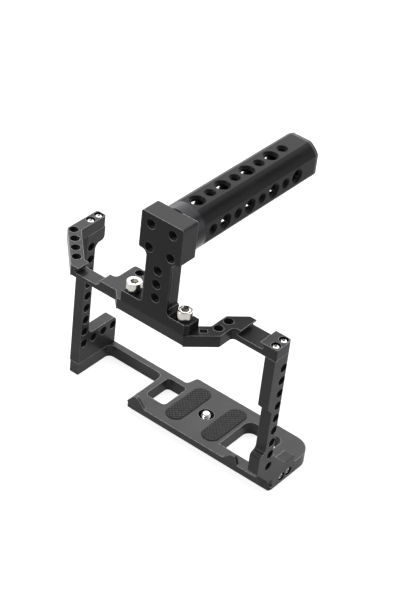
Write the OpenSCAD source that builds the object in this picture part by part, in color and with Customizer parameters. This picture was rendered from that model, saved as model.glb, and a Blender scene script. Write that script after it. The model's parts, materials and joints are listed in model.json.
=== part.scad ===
// Camera cage: a machined frame round a small camera body, with a handle on top
// and rows of accessory holes.
// Origin: the camera screw's axis where it leaves the base plate's top face.
// +X runs right along the plate, +Y to the back, +Z up. Millimetres.

/* [Accessory holes] */
// Diameter of an accessory hole
hole_d = 6.6; // [5.6:0.1:7]
// Distance between neighbouring accessory holes
pitch = 10; // [9:0.1:10.2]
// Height of the lowest accessory hole above the plate's top
first_hole_z = 16; // [13.5:0.5:16.5]
// Number of holes up each side frame
side_holes = 9; // [3:1:9]

/* [Side frames] */
// Clear width between the two side frames
bay_w = 158; // [154:1:170]
// From the camera screw's axis to the right side frame
right_in = 62.7; // [60:0.1:68]
// Thickness of both side frames
side_t = 8; // [7:0.5:10]
// Height of both side frames above the plate's top
side_h = 106.5; // [106:0.5:120]
// From the screw's axis forward to the left side frame's front
left_front = 21.1; // [20:0.1:23]
// Depth of the left column, front to back
left_col = 8.2; // [8:0.1:9]
// From the screw's axis forward to the back of the left frame's top arm
left_arm_back = 4; // [2:0.1:4.5]
// Height of the left frame's top arm
left_arm_h = 10; // [8:0.5:12]
// Height of the left frame's foot
left_foot_h = 22; // [20:0.5:24]
// From the screw's axis forward to the right side frame's front
right_front = 38.3; // [37.5:0.1:40]
// Depth of the right column at its top
right_col = 15.9; // [14:0.1:17]
// How far the right column's waist is set back from its front
waist_in = 4.8; // [3:0.1:6]
// Height where the right column's waist starts
waist_low = 30.2; // [29:0.1:33]
// Height where the right column's waist ends
waist_high = 68.3; // [60:0.1:76]
// How far the right column's nose stands ahead of its front
nose_out = 0.7; // [0.2:0.1:2]
// Height where the nose turns in to the plate
nose_low = 15; // [13:0.1:17]
// Radius of the two bends between nose and waist
bend_r = 3.7; // [2:0.1:3.7]
// Height of the right frame's foot flange above the plate's top
flange_h = 6; // [5:0.1:7]
// From the screw's axis back to the end of the foot flange
flange_back = 3.2; // [1:0.1:5]
// Length of the foot flange's flat top
flange_top = 10.3; // [8:0.1:12]
// Length of the tongue that drops into the plate's notch
tongue_l = 17.2; // [16:0.1:18]

/* [Base plate] */
// Thickness of the base plate
plate_t = 9.5; // [9.5:0.1:11]
// From the screw's axis forward to the plate's front edge
plate_front = 26.3; // [25:0.1:30]
// From the screw's axis back to the plate's back edge
plate_back = 25.5; // [24:0.1:28]
// From the screw's axis left to the plate's left edge
plate_left = 47; // [46:0.1:50]
// Height of the chamfer under the plate's front edge
plate_chamfer = 4.3; // [2:0.1:5]
// From the screw's axis back to the link bar's front
bar_front = 11.6; // [10:0.1:13]
// Width of the link bar to the left side frame
bar_w = 4.8; // [4:0.1:6]
// Where the wide part of the plate's back edge starts, left of the axis
back_step = 29.9; // [28:0.1:33]
// Radius of the plate's back right corner
plate_corner_r = 13; // [6:0.5:15]
// Width of the small left window
win_left_w = 16.5; // [12:0.1:17]
// Length of the small left window, front to back
win_left_l = 24.8; // [16:0.1:26]
// Width of the large right window
win_right_w = 28.5; // [20:0.1:30]
// Length of the large right window, front to back
win_right_l = 33.5; // [24:0.1:36]
// Centre of the left window, left of the axis
win_left_x = 34.25; // [34:0.05:36]
// Centre of the right window, right of the axis
win_right_x = 38.75; // [38:0.05:41]
// Corner radius of the windows
win_r = 3; // [2.5:0.1:4]
// Height of the two camera lips on the front edge
lip_h = 6; // [4:0.1:8]
// Thickness of the two camera lips
lip_t = 2.5; // [2:0.1:3.5]
// Length of a lip's flat top
lip_top = 3.4; // [2:0.1:6]
// Centre of the left lip, left of the axis
lip_left_x = 40.3; // [40:0.1:42]
// Centre of the right lip, right of the axis
lip_right_x = 42; // [38:0.1:46]
// Radius of a lip's top corners
lip_r = 0.8; // [0.4:0.1:1.2]

/* [Grip pads] */
// Width of a rubber grip pad
pad_w = 13.2; // [12:0.1:13.4]
// Length of a rubber grip pad
pad_l = 40.6; // [34:0.1:42]
// Thickness of a rubber grip pad
pad_t = 1.8; // [1.3:0.1:2.4]
// Depth of the recess that holds a pad
pad_seat = 1; // [0.6:0.1:1.2]
// Distance between the two pads' centre lines
pad_gap = 30.6; // [30:0.1:31]

/* [Camera screw] */
// Diameter of the camera screw's thread
cam_d = 6.35; // [6:0.01:6.6]
// How far the dropped screw's tip stands above the plate
cam_tip = 1.2; // [0.6:0.1:1.6]
// Length of the screw's thread
cam_thread = 5; // [4:0.1:5.5]
// Diameter of the thin neck under the thread
cam_neck_d = 5; // [4:0.1:5.4]
// Diameter of the hole in the plate's web
web_d = 11; // [10:0.1:12]
// Thickness of the web over the screw's pocket
web_t = 2; // [1.5:0.1:2.2]
// Diameter of the screw's pocket under the web
pocket_d = 16; // [15.5:0.1:17]
// Thickness of the screw's head
cam_head_t = 1.6; // [1.2:0.1:1.7]
// Thickness of the loose washer on the head
washer_t = 0.6; // [0.4:0.1:0.8]
// Thickness of the retaining ring
clip_t = 0.8; // [0.6:0.1:0.9]
// Radial width of the retaining ring
clip_w = 1.8; // [1.6:0.1:1.9]
// Wall under the retaining ring's groove
clip_lip = 0.6; // [0.5:0.1:0.8]
// Diameter of the pull ring's wire
wire_d = 1; // [0.8:0.05:1.1]
// Radius of the pull ring's bow
bow_r = 4.8; // [4.2:0.1:5]
// Length of the pull ring's straight arms
bow_arm = 0.8; // [0.6:0.1:1]
// Width of the lug that carries the pull ring
lug_w = 6; // [5:0.1:7]
// Depth of the lug that carries the pull ring
lug_d = 3.6; // [3:0.1:4]
// Wall of the lug under the pull ring's wire
lug_wall = 0.25; // [0.15:0.05:0.4]

/* [Top rail] */
// Thickness of the top rail
rail_t = 8.5; // [8:0.1:10]
// Thickness left in the two low bridges of the rail
bridge_t = 4; // [3.5:0.1:5]
// From the screw's axis forward to the rail's front
rail_front = 67.5; // [66:0.1:70]
// How far the left run is set back from the rail's front
rail_step = 5.7; // [4:0.1:7]
// Width of the left run, front to back
rail_run_w = 10.1; // [9:0.1:11]
// Width of the centre run, front to back
rail_mid_w = 12; // [11:0.1:13]
// Width of the slanted arm over the left side frame
arm_w = 8.9; // [8.4:0.1:9.6]
// Number of threaded holes in the slanted arm
arm_holes = 4; // [1:1:4]
// Left end of the centre run, left of the axis
rail_mid_left = 31.5; // [31:0.1:33]
// Right end of the centre run's front edge
rail_mid_right = 21.5; // [21.5:0.1:24]
// Where the slanted front on the right meets the return wall
rail_wall_x = 37.5; // [36:0.1:39]
// Inner edge of the run to the right side frame
rail_inner_x = 27.4; // [26:0.1:28]
// Width of the tab behind the left run
tab_w = 14.7; // [12:0.1:16]
// Centre of the tab's hole, left of the axis
tab_x = 38.4; // [38:0.1:40]
// Centre of the tab's hole, ahead of the axis
tab_y = 37.2; // [36:0.1:40]
// Length of the left low bridge
bridge_left_w = 13.8; // [10:0.1:16]
// Left end of the left low bridge, left of the axis
bridge_left_x = 68.3; // [68:0.1:70]
// Length of the right low bridge
bridge_right_w = 15; // [12:0.1:16]
// Left end of the right low bridge
bridge_right_x = 42.9; // [42:0.1:44]
// Radius of the undercut grooves at the bridges' ends
groove_r = 1.7; // [1:0.1:1.8]
// How far the undercut grooves reach in
groove_in = 2.7; // [2:0.1:3]
// Radius of the ramp at the left bridge's right end
ramp_r = 4; // [3:0.1:4.4]
// Chamfer under the rail's front edges
rail_chamfer = 1; // [0.5:0.1:1.5]
// Slanted corner inside the run to the right side frame
inner_cut = 10.6; // [9:0.1:12]
// Slanted corner behind the right end of the centre run
inner_slope = 7.8; // [6:0.1:9]
// Radius of the back outer corner over the right side frame
rail_corner_r = 3; // [1:0.1:4]
// Centre line of the two holes at the rail's right bend
bend_hole_x = 31.6; // [31:0.1:32.4]
// Position of the front one of those holes, ahead of the axis
bend_hole_y = 46; // [44:0.1:47]

/* [Handle bracket] */
// Centre line of the handle, left of the axis
handle_x = 2.7; // [0:0.1:4]
// From the left clamp screw's axis out to the end of the bracket's foot
foot_left_end = 4.4; // [4:0.1:5]
// From the right clamp screw's axis out to the end of the bracket's foot
foot_right_end = 7.5; // [6:0.1:8]
// Height of the bracket's foot
foot_h = 7.5; // [6:0.1:9]
// Width of the bracket's column
col_w = 19.2; // [16:0.1:21]
// Height of the bracket's column above the rail
col_h = 46; // [42:0.1:52]
// Width of the bracket's head
head_w = 32; // [31:0.1:36]
// Height of the bracket's head
head_h = 26.5; // [26:0.1:32]
// Depth of the bracket's head
head_d = 14; // [13:0.1:18]
// Depth of the recess along each side of the column
web_in = 1; // [0.5:0.1:2]
// Width of the column's front rib
rib_d = 2.5; // [2:0.1:4]
// Number of holes up the column
col_holes = 3; // [1:1:3]
// Distance between the four holes in the head
head_pitch = 16.6; // [15.6:0.1:17.4]
// Radius under the head's corners
head_r = 4; // [2:0.1:4.4]
// Radius at the foot of the column
foot_r = 3; // [2:0.1:4]
// Chamfer on the foot's front right corner
foot_chamfer = 2.3; // [1:0.1:3]

/* [Handle] */
// Diameter of the handle tube
tube_d = 31; // [30:0.1:33]
// How far each flat is cut into the tube's round
flat_in = 1.5; // [1:0.1:2]
// Wall between a flat and the bore
flat_wall = 3; // [2.5:0.1:3.5]
// Length of the tube
tube_l = 122.5; // [100:0.5:160]
// Length of the tube's round neck
neck_l = 9.9; // [9:0.1:10]
// Thickness of the tube's closed front wall
front_wall = 8; // [6:0.1:9]
// Distance between the tube's hole stations
station = 12.2; // [12:0.1:14]
// Number of hole stations along the tube
stations = 8; // [1:1:8]
// From the tube's front to its first hole station
first_station = 18.5; // [18:0.1:20]
// Diameter of a large tapped hole
big_d = 8.8; // [8:0.1:9]
// Diameter of a small tapped hole
small_d = 5.8; // [5:0.1:6.2]
// Diameter added by a tapped hole's countersink
sink_d = 1.8; // [1:0.1:2]
// Thickness of the end plug's cap
plug_t = 2.5; // [2:0.1:4]
// Length of the end plug's stem
plug_stem = 9; // [6:0.5:10]

/* [Fasteners] */
// Clearance round a screw's shank and head in its hole
play = 0.05; // [0.03:0.01:0.08]
// Thread diameter of the small screws
m3_d = 3; // [2.5:0.1:3]
// Head diameter of the small screws
m3_head_d = 5.4; // [5:0.1:5.6]
// Head height of the small screws
m3_head_h = 2; // [1.6:0.1:2.2]
// Length of the small screws' shanks
m3_len = 12; // [8:0.5:12]
// Diameter of the small screws' counterbores
cbore_d = 6.4; // [6:0.1:6.6]
// Depth of the small screws' counterbores
cbore_t = 2.6; // [2.3:0.1:3]
// Distance between the two small screws on a side frame's top
top_pitch = 8; // [7:0.1:8]
// Thread diameter of the clamp screws
m6_d = 6; // [5:0.1:6]
// Head diameter of the clamp screws
m6_head_d = 10.2; // [9:0.1:10.4]
// Head height of the clamp screws
m6_head_h = 6; // [5:0.1:7]
// Clear space between the left clamp screw's head and the column's fillet
clamp_left_gap = 3.9; // [3:0.1:4.5]
// Clear space between the right clamp screw's head and the column's fillet
clamp_right_gap = 0.8; // [0.3:0.1:1.5]
// From the rail's front back to the clamp screws' axes
clamp_y = 6.7; // [5.5:0.1:6.7]
// Thread diameter of the handle bolt
m8_d = 8; // [6:0.5:8]
// Head diameter of the handle bolt
m8_head_d = 13; // [12:0.5:14]
// Head height of the handle bolt
m8_head_h = 5; // [4:0.5:5]
// How deep the handle bolt goes into the bracket's head
m8_in = 10; // [8:0.5:11]

/* [Hidden] */
$fn = 48;
// a cut runs this far past a face
e = 1;
// side frames
left_in = right_in - bay_w;
left_out = left_in - side_t;
right_out = right_in + side_t;
left_mid = left_in - side_t / 2;
right_mid = right_in + side_t / 2;
left_hole_y = -left_front + left_col / 2;
right_back = right_front - right_col;
right_hole_y = -right_back - 5.4;
top_left_y = -left_arm_back - 2.9;
top_right_y = -right_back - 3.7;
// rail
rail_z = side_h;
rail_top = rail_z + rail_t;
arm_x = rail_front - rail_step;
arm_out = -left_out + 33.1;
arm_in = arm_out - arm_w * sqrt(2);
arm_hole = arm_out - 4.03 * sqrt(2);
// handle
foot_top = rail_top + foot_h;
head_z = rail_top + col_h;
tube_z = head_z + head_h / 2 - 1.65;
tube_y = -rail_front + head_d;
flat_w = tube_d - 2 * flat_in;
bore_d = flat_w - 2 * flat_wall;
// clamp screws stand beside the column, and the bracket's foot runs past them
clamp_left_x = -handle_x - col_w / 2 - foot_r - clamp_left_gap - m6_head_d / 2;
clamp_right_x = -handle_x + col_w / 2 + foot_r + clamp_right_gap + m6_head_d / 2;
foot_left = clamp_left_x - foot_left_end;
foot_right = clamp_right_x + foot_right_end;
// clear travel of the camera screw and the heights under the web
web_z = -web_t;
clip_z = -plate_t + clip_lip;
clip_r = pocket_d / 2 + 0.7;
head_bot = clip_z + clip_t + 0.15;
head_top = head_bot + cam_head_t;
washer_z = head_top + 0.05;
head_r_cam = pocket_d / 2 - 0.4;
wire_z = head_bot - 0.15 - wire_d / 2;
lug_bot = wire_z - wire_d / 2 - play - lug_wall;
m3_seat = rail_top - cbore_t;
foot_screw_z = -plate_t / 2;
foot_right_y = [flange_back - tongue_l + 4.9, flange_back - 4.9];
foot_left_y = [-left_front + 6, bar_front - 2];
// only the hole stations clear of the end plug are drilled
tube_stations = min(stations, 1 + floor((tube_l - plug_stem - big_d / 2 - first_station) / station));

// points of a polygon whose corners [x, y, r] are rounded by r
function turn(a) = a > 180 ? a - 360 : (a < -180 ? a + 360 : a);
function bend(a, b, c) =
    b[2] == 0 ? [[b[0], b[1]]] :
    let (p = [b[0], b[1]])
    let (u = ([a[0], a[1]] - p) / norm([a[0], a[1]] - p))
    let (v = ([c[0], c[1]] - p) / norm([c[0], c[1]] - p))
    let (h = acos(u * v) / 2)
    let (m = p + (u + v) / norm(u + v) * b[2] / sin(h))
    let (s = p + u * b[2] / tan(h) - m)
    let (t = p + v * b[2] / tan(h) - m)
    let (a0 = atan2(s[1], s[0]))
    let (da = turn(atan2(t[1], t[0]) - a0))
    let (n = max(3, ceil(abs(da) / 12)))
    [for (i = [0:n]) m + b[2] * [cos(a0 + da * i / n), sin(a0 + da * i / n)]];
function soft(p) =
    [for (i = [0:len(p) - 1]) each bend(p[(i + len(p) - 1) % len(p)], p[i], p[(i + 1) % len(p)])];

// an outline drawn in Y and Z, extruded along X
module along_x(x, w) {
    translate([x, 0, 0])
        rotate([90, 0, 90])
            linear_extrude(w)
                children();
}

// an outline drawn in X and Z, extruded back along Y
module along_y(y, d) {
    translate([0, y + d, 0])
        rotate([90, 0, 0])
            linear_extrude(d)
                children();
}

// round bars along each axis, starting at a point
module rod_x(p, r, l) {
    translate(p)
        rotate([0, 90, 0])
            cylinder(r = r, h = l);
}
module rod_y(p, r, l) {
    translate(p)
        rotate([-90, 0, 0])
            cylinder(r = r, h = l);
}
module rod_z(p, r, l) {
    translate(p)
        cylinder(r = r, h = l);
}

// a plate outline with rounded ends, long side along Y
module stadium(w, l, h) {
    union() {
        translate([-w / 2, -l / 2 + w / 2, 0])
            cube([w, l - w, h]);
        for (s = [-1, 1])
            translate([0, s * (l - w) / 2, 0])
                cylinder(r = w / 2, h = h);
    }
}

// a row of accessory holes up a side frame
module side_row(x, y) {
    for (k = [0:side_holes - 1])
        rod_x([x - e, y, first_hole_z + k * pitch], hole_d / 2, side_t + 2 * e);
}

// a window through the plate, its corner radii from the front left corner round
module window(x, y, w, l, r) {
    translate([x, y, -plate_t - e])
        linear_extrude(plate_t + 2 * e)
            polygon(soft([[-w / 2, -l / 2, r[0]], [w / 2, -l / 2, r[1]], [w / 2, l / 2, r[2]],
                [-w / 2, l / 2, r[3]]]));
}

// small pan head screw standing head up, its seat at z = 0
module pan_screw() {
    translate([0, 0, -m3_len])
        cylinder(r = m3_d / 2, h = m3_len);
    difference() {
        union() {
            cylinder(r = m3_head_d / 2, h = m3_head_h - 0.6);
            translate([0, 0, m3_head_h - 0.6])
                cylinder(r1 = m3_head_d / 2, r2 = m3_head_d / 2 - 0.9, h = 0.6);
        }
        for (a = [0, 90])
            rotate([0, 0, a])
                translate([-m3_head_d * 0.3, -0.3, m3_head_h - 0.9])
                    cube([m3_head_d * 0.6, 0.6, 2]);
    }
}

// socket cap screw standing head up, its seat at z = 0
module cap_screw(d, hd, hh, l, key) {
    translate([0, 0, -l])
        cylinder(r = d / 2, h = l);
    difference() {
        union() {
            cylinder(r = hd / 2, h = hh - 0.5);
            translate([0, 0, hh - 0.5])
                cylinder(r1 = hd / 2, r2 = hd / 2 - 0.5, h = 0.5);
        }
        translate([0, 0, hh * 0.45])
            cylinder(r = key / sqrt(3), h = hh, $fn = 6);
    }
}

// clearance for a small screw: counterbore above z = 0 and hole below it
module pan_cut(up, down) {
    cylinder(r = cbore_d / 2, h = up);
    translate([0, 0, -down])
        cylinder(r = m3_d / 2 + play, h = down + 0.01);
}

// a camera lip on the plate's front edge, slanted at both ends
module lip(x, run) {
    half = lip_top / 2;
    along_y(-plate_front, lip_t)
        polygon(soft([[x - half - run[0], 0, 0], [x - half, lip_h, lip_r], [x + half, lip_h, lip_r],
            [x + half + run[1], 0, 0], [x + half + run[1], -1, 0], [x - half - run[0], -1, 0]]));
}

module base_plate() {
    color([0.2, 0.21, 0.22])
    difference() {
        union() {
            intersection() {
                translate([0, 0, -plate_t])
                    linear_extrude(plate_t)
                        polygon(soft([
                            [left_out, -left_front, 1],
                            [left_in, -left_front, 0],
                            [left_in, bar_front, 4],
                            [-plate_left, bar_front, 5],
                            [-plate_left, -plate_front, 1],
                            [right_out - 4, -plate_front, 4],
                            [right_out, -plate_front + 6, 4],
                            [right_out, plate_back, plate_corner_r],
                            [-back_step + 2, plate_back, 2],
                            [-back_step, bar_front + bar_w, 2.5],
                            [left_out, bar_front + bar_w, 1]]));
                along_x(left_out - e, right_out - left_out + 2 * e)
                    polygon([[-plate_front, -plate_t + plate_chamfer], [-plate_front + plate_chamfer, -plate_t],
                        [plate_back + e, -plate_t], [plate_back + e, 0], [-plate_front, 0]]);
            }
            lip(-lip_left_x, [5, 6]);
            lip(lip_right_x, [6, 2.6]);
        }
        window(-win_left_x, -0.4, win_left_w, win_left_l, win_r * [1, 1, 1, 1]);
        window(win_right_x, -0.55, win_right_w, win_right_l, [win_r - 2, win_r + 2, win_r + 2, win_r + 3]);
        for (s = [-1, 1])
            translate([s * pad_gap / 2, 0, -pad_seat])
                stadium(pad_w + 0.2, pad_l + 0.2, pad_seat + e);
        rod_z([0, 0, -plate_t - e], pocket_d / 2, plate_t - web_t + e);
        rod_z([0, 0, -plate_t], web_d / 2, plate_t + e);
        rod_z([0, 0, clip_z - 0.05], clip_r + 0.05, clip_t + 0.1);
        // notch for the right side frame's tongue
        translate([right_in - play, flange_back - tongue_l - play, -plate_t - e])
            cube([side_t + e, tongue_l + 2 * play, plate_t + 2 * e]);
        for (y = foot_right_y)
            rod_x([right_out - cbore_t - m3_len - 0.3, y, foot_screw_z], m3_d / 2 + play, m3_len);
        for (y = foot_left_y)
            translate([left_mid, y, -plate_t + cbore_t])
                rotate([180, 0, 0])
                    pan_cut(cbore_t + e, plate_t);
        rod_x([right_out - 3, -plate_front + 5.9, -5.7], 1.1, 4);
    }
}

module grip_pad(s) {
    color([0.16, 0.16, 0.17])
        translate([s * pad_gap / 2, 0, -pad_seat])
            stadium(pad_w, pad_l, pad_t);
}
module left_grip_pad() {
    grip_pad(-1);
}
module right_grip_pad() {
    grip_pad(1);
}

module camera_screw() {
    color([0.72, 0.72, 0.72])
    difference() {
        union() {
            rod_z([0, 0, head_bot], head_r_cam, cam_head_t);
            rod_z([0, 0, head_top - 0.1], cam_neck_d / 2, cam_tip - cam_thread - head_top + 0.2);
            rod_z([0, 0, cam_tip - cam_thread], cam_d / 2, cam_thread - 0.5);
            translate([0, 0, cam_tip - 0.5])
                cylinder(r1 = cam_d / 2, r2 = cam_d / 2 - 0.5, h = 0.5);
            translate([-lug_w / 2, -lug_d / 2, lug_bot])
                cube([lug_w, lug_d, head_bot - lug_bot + 0.1]);
        }
        rod_x([-lug_w / 2 - e, 0, wire_z], wire_d / 2 + play, lug_w + 2 * e);
    }
}

module screw_washer() {
    color([0.55, 0.55, 0.55])
    difference() {
        rod_z([0, 0, washer_z], pocket_d / 2 - 0.6, washer_t);
        rod_z([0, 0, washer_z - e], cam_d / 2 + 0.15, washer_t + 2 * e);
    }
}

module screw_ring() {
    color([0.75, 0.75, 0.75])
    translate([0, 0, wire_z])
        union() {
            rod_x([-bow_r - wire_d / 2, 0, 0], wire_d / 2, 2 * bow_r + wire_d);
            for (s = [-1, 1])
                rod_y([s * bow_r, -bow_arm, 0], wire_d / 2, bow_arm);
            translate([0, -bow_arm, 0])
                rotate([0, 0, 180])
                    rotate_extrude(angle = 180)
                        translate([bow_r, 0])
                            circle(r = wire_d / 2);
        }
}

module screw_circlip() {
    color([0.25, 0.25, 0.25])
    difference() {
        rod_z([0, 0, clip_z], clip_r, clip_t);
        rod_z([0, 0, clip_z - e], clip_r - clip_w, clip_t + 2 * e);
        translate([-1.6, 0, clip_z - e])
            cube([3.2, clip_r + e, clip_t + 2 * e]);
    }
}

module left_upright() {
    back = bar_front + bar_w;
    inner = -left_front + left_col;
    color([0.21, 0.22, 0.23])
    difference() {
        along_x(left_out, side_t)
            polygon(soft([
                [-left_front, 0, 0],
                [back, 0, 0],
                [back, left_foot_h, 4],
                [inner, left_foot_h, 4.5],
                [inner, side_h - left_arm_h, 4.5],
                [-left_arm_back, side_h - left_arm_h, 3],
                [-left_arm_back, side_h, 0],
                [-left_front, side_h, 0]]));
        side_row(left_out, left_hole_y);
        for (k = [1:3])
            rod_x([left_out - e, left_hole_y + k * pitch, first_hole_z], hole_d / 2, side_t + 2 * e);
        for (s = [0, 1])
            rod_z([left_mid, top_left_y - s * top_pitch, m3_seat - m3_len - 0.1], m3_d / 2 + play, m3_len);
        for (y = foot_left_y)
            rod_z([left_mid, y, -e], m3_d / 2 + play, m3_len - plate_t + cbore_t + 0.1 + e);
    }
}

module right_upright() {
    front = -right_front;
    waist = front + waist_in;
    nose = front - nose_out;
    tongue = flange_back - tongue_l;
    reach = flange_back - flange_top;
    gusset = -right_back - reach;
    color([0.21, 0.22, 0.23])
    difference() {
        along_x(right_in, side_t)
            polygon(soft([
                [front, side_h, 0],
                [front, waist_high, 0],
                [waist, waist_high - waist_in, 0],
                [waist, waist_low, bend_r],
                [nose, waist_low - 0.01, bend_r - 0.9],
                [nose, nose_low, 0],
                [-plate_front, nose_low + nose + plate_front > 0.5 ? nose_low + nose + plate_front : 0.5, 0],
                [-plate_front, 0, 0],
                [tongue, 0, 0],
                [tongue, -plate_t, 0],
                [flange_back, -plate_t, 0],
                [flange_back, flange_h, 1],
                [reach, flange_h, 2],
                [-right_back, flange_h + abs(gusset), 2],
                [-right_back, side_h, 0]]));
        side_row(right_in, right_hole_y);
        for (s = [0, 1])
            rod_z([right_mid, top_right_y - s * top_pitch, m3_seat - m3_len - 0.1], m3_d / 2 + play, m3_len);
        for (y = foot_right_y)
            translate([right_out - cbore_t, y, foot_screw_z])
                rotate([0, 90, 0])
                    pan_cut(cbore_t + e, side_t);
        // round on the column's back outer edge, under the rail's corner
        translate([right_out - rail_corner_r, -right_back - rail_corner_r, flange_h + abs(gusset) + 1])
            difference() {
                cube([rail_corner_r + e, rail_corner_r + e, side_h]);
                translate([0, 0, -e])
                    cylinder(r = rail_corner_r, h = side_h + 2 * e);
            }
    }
}

// low bridge across the rail, undercut at its ends
module bridge_cut(x, w, y, d, left, right) {
    floor = rail_z + bridge_t;
    translate([x, y, floor])
        cube([w, d, rail_t]);
    if (left)
        undercut(x, -1, y, d, floor);
    if (right)
        undercut(x + w, 1, y, d, floor);
}
module undercut(x, s, y, d, floor) {
    rod_y([x + s * (groove_in - groove_r), y, floor + groove_r], groove_r, d);
    translate([x + (s < 0 ? groove_r - groove_in : -0.1), y, floor])
        cube([groove_in - groove_r + 0.1, d, 2 * groove_r]);
}

module top_rail() {
    back = -rail_front + rail_mid_w;
    left_y = -arm_x;
    run_back = left_y + rail_run_w;
    tab_back = -tab_y + 4.1;
    tab_left = -tab_x - tab_w / 2;
    tab_right = -tab_x + tab_w / 2;
    color([0.22, 0.23, 0.24])
    difference() {
        translate([0, 0, rail_z])
            linear_extrude(rail_t)
                polygon(soft([
                    [left_out, -left_arm_back + 0.2, 1.5],
                    [left_out, -arm_out - left_out, 0],
                    [-arm_out - left_y, left_y, 1],
                    [-rail_mid_left - rail_step, left_y, 1],
                    [-rail_mid_left, -rail_front, 1],
                    [rail_mid_right, -rail_front, 1],
                    [rail_wall_x, -rail_front - rail_mid_right + rail_wall_x, 1],
                    [rail_wall_x, -right_front, 3],
                    [right_out, -right_front, 1],
                    [right_out, -right_back, rail_corner_r],
                    [rail_inner_x + inner_cut, -right_back, 1.5],
                    [rail_inner_x, -right_back - inner_cut, 2],
                    [rail_inner_x, back + inner_slope, 2],
                    [rail_inner_x - inner_slope, back, 2],
                    [tab_right, back, 3],
                    [tab_right, tab_back, 2],
                    [tab_left, tab_back, 2],
                    [tab_left, run_back, 3],
                    [-arm_in - run_back, run_back, 2],
                    [left_in, -arm_in - left_in, 2],
                    [left_in, -left_arm_back + 0.2, 1.5]]));
        bridge_cut(-bridge_left_x, bridge_left_w, left_y - e, rail_run_w + 2 * e, true, false);
        bridge_cut(bridge_right_x, bridge_right_w, -right_front - e, right_col + 2 * e, true, true);
        // ramp up from the left bridge
        intersection() {
            translate([-bridge_left_x + bridge_left_w - e, left_y - e, rail_z + bridge_t])
                cube([ramp_r + e, rail_run_w + 2 * e, rail_t]);
            rod_y([-bridge_left_x + bridge_left_w, left_y - e, rail_z + bridge_t + ramp_r], ramp_r,
                rail_run_w + 2 * e);
        }
        for (k = [0:arm_holes - 1])
            rod_z([-arm_hole / 2 - 33.9 + k * pitch / sqrt(2), -arm_hole / 2 + 33.9 - k * pitch / sqrt(2),
                rail_z - e], hole_d / 2, rail_t + 2 * e);
        rod_z([-tab_x, -tab_y, rail_z - e], hole_d / 2, rail_t + 2 * e);
        for (k = [0, 1])
            rod_z([bend_hole_x, -bend_hole_y + k * pitch, rail_z - e], hole_d / 2, rail_t + 2 * e);
        for (s = [0, 1]) {
            translate([left_mid, top_left_y - s * top_pitch, m3_seat])
                pan_cut(cbore_t + e, rail_t);
            translate([right_mid, top_right_y - s * top_pitch, m3_seat])
                pan_cut(cbore_t + e, rail_t);
        }
        for (x = [clamp_left_x, clamp_right_x])
            rod_z([x, -rail_front + clamp_y, rail_z - e], m6_d / 2 + play, rail_t + 2 * e);
        // shallow pocket in the slanted front band on the right
        translate([(rail_mid_right + rail_wall_x) / 2 - 2.3, -rail_front + (rail_wall_x - rail_mid_right) / 2 + 4.5,
            rail_top - 1.2])
            rotate([0, 0, 45])
                translate([-2.3, -1.75, 0])
                    cube([4.6, 3.5, 3]);
        // chamfers under the straight front edges
        front_chamfer(-arm_out + arm_x, -rail_mid_left - rail_step, left_y);
        front_chamfer(-rail_mid_left, rail_mid_right, -rail_front);
    }
}
module front_chamfer(x0, x1, y) {
    along_x(x0, x1 - x0)
        polygon([[y - e, rail_z - e], [y + rail_chamfer + e, rail_z - e], [y - e, rail_z + rail_chamfer + e]]);
}

module handle_bracket() {
    back = -rail_front + rail_mid_w;
    cx = -handle_x;
    color([0.2, 0.2, 0.21])
    difference() {
        union() {
            difference() {
                along_y(-rail_front, rail_mid_w)
                    polygon(soft([
                        [foot_left, rail_top, 0],
                        [foot_right, rail_top, 0],
                        [foot_right, foot_top, 0.8],
                        [cx + col_w / 2, foot_top, foot_r],
                        [cx + col_w / 2, head_z, head_r],
                        [cx + head_w / 2, head_z, 1.5],
                        [cx + head_w / 2, head_z + head_h, 1.5],
                        [cx - head_w / 2, head_z + head_h, 1.5],
                        [cx - head_w / 2, head_z, 1.5],
                        [cx - col_w / 2, head_z, head_r],
                        [cx - col_w / 2, foot_top, foot_r],
                        [foot_left, foot_top, 0.8]]));
                // side recesses behind the front rib
                for (x = [cx - col_w / 2 - e, cx + col_w / 2 - web_in])
                    translate([x, -rail_front + rib_d, foot_top + foot_r])
                        cube([web_in + e, rail_mid_w, col_h - foot_h - foot_r - head_r]);
            }
            translate([cx - head_w / 2, back - e, head_z])
                along_head();
        }
        for (k = [0:col_holes - 1])
            rod_y([cx, -rail_front - e, foot_top + 8 + k * pitch], hole_d / 2, rail_mid_w + 2 * e);
        for (i = [-1, 1])
            for (j = [-1, 1])
                rod_y([cx + i * head_pitch / 2, -rail_front - e, tube_z - 0.5 + j * head_pitch / 2],
                    hole_d / 2, head_d + 2 * e);
        rod_y([cx, tube_y - m8_in - 0.3, tube_z], m8_d / 2 + play, m8_in + e + 0.3);
        for (x = [clamp_left_x, clamp_right_x])
            rod_z([x, -rail_front + clamp_y, rail_top - e], m6_d / 2 + play, foot_h + 2 * e);
        // front right corner of the foot
        translate([foot_right, -rail_front, rail_top - e])
            rotate([0, 0, -45])
                translate([-foot_chamfer / sqrt(2), -foot_chamfer * 2, 0])
                    cube([foot_chamfer * 3, foot_chamfer * 4, foot_h + 2 * e]);
    }
}
module along_head() {
    translate([0, head_d - rail_mid_w + e, 0])
        rotate([90, 0, 0])
            linear_extrude(head_d - rail_mid_w + e)
                polygon(soft([[0, 0, 1.5], [head_w, 0, 1.5], [head_w, head_h, 1.5], [0, head_h, 1.5]]));
}

module clamp_screw(x) {
    color([0.78, 0.77, 0.76])
        translate([x, -rail_front + clamp_y, foot_top + play])
            cap_screw(m6_d, m6_head_d, m6_head_h, foot_h + rail_t - 0.5, 5);
}
module left_clamp_screw() {
    clamp_screw(clamp_left_x);
}
module right_clamp_screw() {
    clamp_screw(clamp_right_x);
}

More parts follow.
